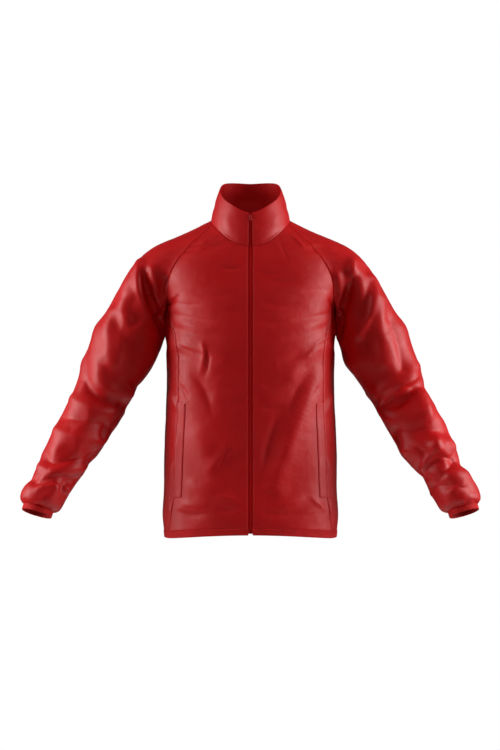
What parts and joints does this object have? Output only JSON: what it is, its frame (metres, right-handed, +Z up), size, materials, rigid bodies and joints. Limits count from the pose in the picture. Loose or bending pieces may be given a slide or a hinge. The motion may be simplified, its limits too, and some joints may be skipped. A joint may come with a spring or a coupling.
{
  "type": "rain jacket",
  "caption": "Light zipped rain jacket with raglan sleeves, a stand collar, side panels, long pocket welts and elastic binding at hem and cuffs.",
  "frame": {"origin": "middle of the neck opening at the height where the shoulders meet the collar's seam, where a hanger or a neck holds the jacket", "axes": "+Z up, -Y out of the front, +X towards the wearer's left"},
  "size_m": [1.0182, 0.2707, 0.7977],
  "materials": {
    "shell_fabric": "smooth woven polyester with a soft satin sheen, red",
    "elastic_binding": "narrow elastic binding, red, slightly duller than the shell",
    "zip_tape": "matt woven zip tape, dark red",
    "zip_coil": "moulded nylon coil, dark red",
    "slider_metal": "die-cast metal, painted red"
  },
  "bodies": {
    "jacket": {"front_left": "shell_fabric", "front_right": "shell_fabric", "back": "shell_fabric", "side_panel_left": "shell_fabric", "side_panel_right": "shell_fabric", "sleeve_front_left": "shell_fabric", "sleeve_front_right": "shell_fabric", "sleeve_back_left": "shell_fabric", "sleeve_back_right": "shell_fabric", "collar": "shell_fabric", "cuff_left": "elastic_binding", "cuff_right": "elastic_binding", "hem_band": "elastic_binding", "pocket_welt_left": "shell_fabric", "pocket_welt_right": "shell_fabric", "zip_tape_left": "zip_tape", "zip_tape_right": "zip_tape", "zip_coil": "zip_coil", "zip_slider": "slider_metal"},
    "pull_tab": {"zip_pull_tab": "slider_metal"}
  },
  "joints": [
    {"name": "pull_tab_hinge", "type": "hinge", "parent": "jacket", "child": "pull_tab", "pos_m": [0, -0.08462, 0.00807], "axis": [-1, 0, 0], "range_deg": [0, 160]}
  ]
}
